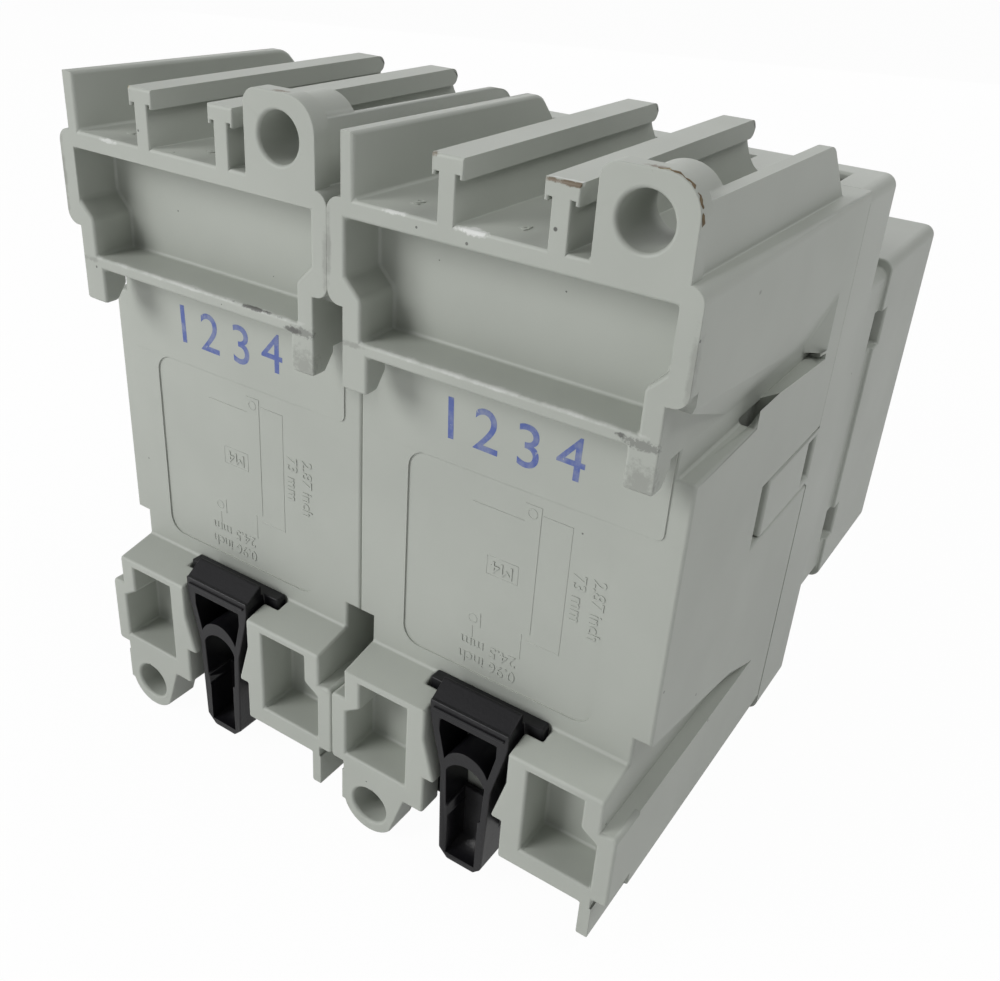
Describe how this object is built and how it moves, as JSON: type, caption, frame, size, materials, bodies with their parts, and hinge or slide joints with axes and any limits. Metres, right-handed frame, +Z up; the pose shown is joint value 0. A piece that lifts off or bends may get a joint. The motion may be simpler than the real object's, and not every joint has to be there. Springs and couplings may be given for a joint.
{
  "type": "motor protection circuit breaker pair",
  "caption": "Pair of manual motor starters side by side, open-backed rail recess with black clips, barrier ribs, terminals, push buttons and a setting dial.",
  "frame": {"origin": "middle of the rail's seat: on the seam between the two breakers, on the panel plane that the rail lies on, at the rail's middle height", "axes": "+Z up, +Y out of the rear towards the rail and wall, fronts facing -Y, +X to the right seen from the front"},
  "size_m": [0.0712, 0.0835, 0.0806],
  "materials": {
    "grey_plastic": "moulded light grey thermoplastic, fine matt grain",
    "cover_plastic": "moulded light grey thermoplastic, fine matt grain",
    "black_plastic": "moulded black thermoplastic, matt",
    "start_button": "moulded black thermoplastic, satin",
    "stop_button": "moulded red thermoplastic, satin",
    "dial": "moulded dark thermoplastic, satin",
    "spring_steel": "drawn spring wire and leaf",
    "clamp_steel": "zinc-plated pressed steel",
    "screw_steel": "zinc-plated turned steel",
    "copper": "stamped copper strip, dull",
    "coil_copper": "varnished copper winding",
    "bimetal": "rolled bimetal strip",
    "carrier_plastic": "moulded natural thermoset, matt"
  },
  "bodies": {
    "housings": {"left_rear_housing": "grey_plastic", "left_front_cover": "cover_plastic", "left_line_clamp_cages": "clamp_steel", "left_line_screws": "screw_steel", "left_load_clamp_cages": "clamp_steel", "left_load_screws": "screw_steel", "left_line_contacts": "copper", "left_load_contacts": "copper", "left_load_bars": "copper", "left_arc_plates": "clamp_steel", "left_trip_coils": "coil_copper", "left_coil_yokes": "clamp_steel", "left_trip_plungers": "screw_steel", "left_bimetal_strips": "bimetal", "left_bimetal_heaters": "coil_copper", "left_mechanism_frame": "clamp_steel", "left_latch_pin": "screw_steel", "left_start_spring": "spring_steel", "left_stop_spring": "spring_steel", "right_rear_housing": "grey_plastic", "right_front_cover": "cover_plastic", "right_line_clamp_cages": "clamp_steel", "right_line_screws": "screw_steel", "right_load_clamp_cages": "clamp_steel", "right_load_screws": "screw_steel", "right_line_contacts": "copper", "right_load_contacts": "copper", "right_load_bars": "copper", "right_arc_plates": "clamp_steel", "right_trip_coils": "coil_copper", "right_coil_yokes": "clamp_steel", "right_trip_plungers": "screw_steel", "right_bimetal_strips": "bimetal", "right_bimetal_heaters": "coil_copper", "right_mechanism_frame": "clamp_steel", "right_latch_pin": "screw_steel", "right_start_spring": "spring_steel", "right_stop_spring": "spring_steel"},
    "left_start": {"left_start_button": "start_button"},
    "left_stop": {"left_stop_button": "stop_button"},
    "left_carrier": {"left_contact_carrier": "carrier_plastic", "left_contact_bridges": "copper", "left_contact_springs": "spring_steel"},
    "left_lever": {"left_latch_lever": "clamp_steel"},
    "left_dial": {"left_current_dial": "dial"},
    "left_clip": {"left_din_clip": "black_plastic"},
    "left_slide": {"left_trip_slide": "carrier_plastic"},
    "right_start": {"right_start_button": "start_button"},
    "right_stop": {"right_stop_button": "stop_button"},
    "right_carrier": {"right_contact_carrier": "carrier_plastic", "right_contact_bridges": "copper", "right_contact_springs": "spring_steel"},
    "right_lever": {"right_latch_lever": "clamp_steel"},
    "right_dial": {"right_current_dial": "dial"},
    "right_clip": {"right_din_clip": "black_plastic"},
    "right_slide": {"right_trip_slide": "carrier_plastic"}
  },
  "joints": [
    {"name": "left_start_press", "type": "slide", "parent": "housings", "child": "left_start", "axis": [0, 1, 0], "range_m": [0, 0.004], "stiffness_N_per_m": 400, "springref_m": -0.002, "deforming": ["left_start_spring"]},
    {"name": "left_lever_turn", "type": "hinge", "parent": "housings", "child": "left_lever", "pos_m": [-0.0178, -0.053, -0.0048], "axis": [-1, 0, 0], "range_deg": [0, 19.5]},
    {"name": "left_carrier_slide", "type": "slide", "parent": "housings", "child": "left_carrier", "axis": [0, 1, 0], "range_m": [0, 0.00335]},
    {"name": "left_stop_press", "type": "slide", "parent": "housings", "child": "left_stop", "axis": [0, 1, 0], "range_m": [0, 0.003], "stiffness_N_per_m": 400, "springref_m": -0.002, "deforming": ["left_stop_spring"]},
    {"name": "left_dial_turn", "type": "hinge", "parent": "housings", "child": "left_dial", "pos_m": [-0.0178, -0.076, -0.0158], "axis": [0, -1, 0], "range_deg": [-135, 135]},
    {"name": "left_clip_pull", "type": "slide", "parent": "housings", "child": "left_clip", "axis": [0, 0, -1], "range_m": [0, 0.003], "stiffness_N_per_m": 2000, "springref_m": -0.002},
    {"name": "left_trip_travel", "type": "slide", "parent": "housings", "child": "left_slide", "axis": [1, 0, 0], "range_m": [0, 0.0014], "stiffness_N_per_m": 60, "springref_m": -0.0005},
    {"name": "right_start_press", "type": "slide", "parent": "housings", "child": "right_start", "axis": [0, 1, 0], "range_m": [0, 0.004], "stiffness_N_per_m": 400, "springref_m": -0.002, "deforming": ["right_start_spring"]},
    {"name": "right_lever_turn", "type": "hinge", "parent": "housings", "child": "right_lever", "pos_m": [0.0178, -0.053, -0.0048], "axis": [-1, 0, 0], "range_deg": [0, 19.5]},
    {"name": "right_carrier_slide", "type": "slide", "parent": "housings", "child": "right_carrier", "axis": [0, 1, 0], "range_m": [0, 0.00335]},
    {"name": "right_stop_press", "type": "slide", "parent": "housings", "child": "right_stop", "axis": [0, 1, 0], "range_m": [0, 0.003], "stiffness_N_per_m": 400, "springref_m": -0.002, "deforming": ["right_stop_spring"]},
    {"name": "right_dial_turn", "type": "hinge", "parent": "housings", "child": "right_dial", "pos_m": [0.0178, -0.076, -0.0158], "axis": [0, -1, 0], "range_deg": [-135, 135]},
    {"name": "right_clip_pull", "type": "slide", "parent": "housings", "child": "right_clip", "axis": [0, 0, -1], "range_m": [0, 0.003], "stiffness_N_per_m": 2000, "springref_m": -0.002},
    {"name": "right_trip_travel", "type": "slide", "parent": "housings", "child": "right_slide", "axis": [1, 0, 0], "range_m": [0, 0.0014], "stiffness_N_per_m": 60, "springref_m": -0.0005}
  ],
  "couplings": [
    {"joint": "left_lever_turn", "follows": "left_start_press", "rad_per_m": 85.085},
    {"joint": "left_carrier_slide", "follows": "left_start_press", "ratio": 0.8375},
    {"joint": "right_lever_turn", "follows": "right_start_press", "rad_per_m": 85.085},
    {"joint": "right_carrier_slide", "follows": "right_start_press", "ratio": 0.8375}
  ]
}
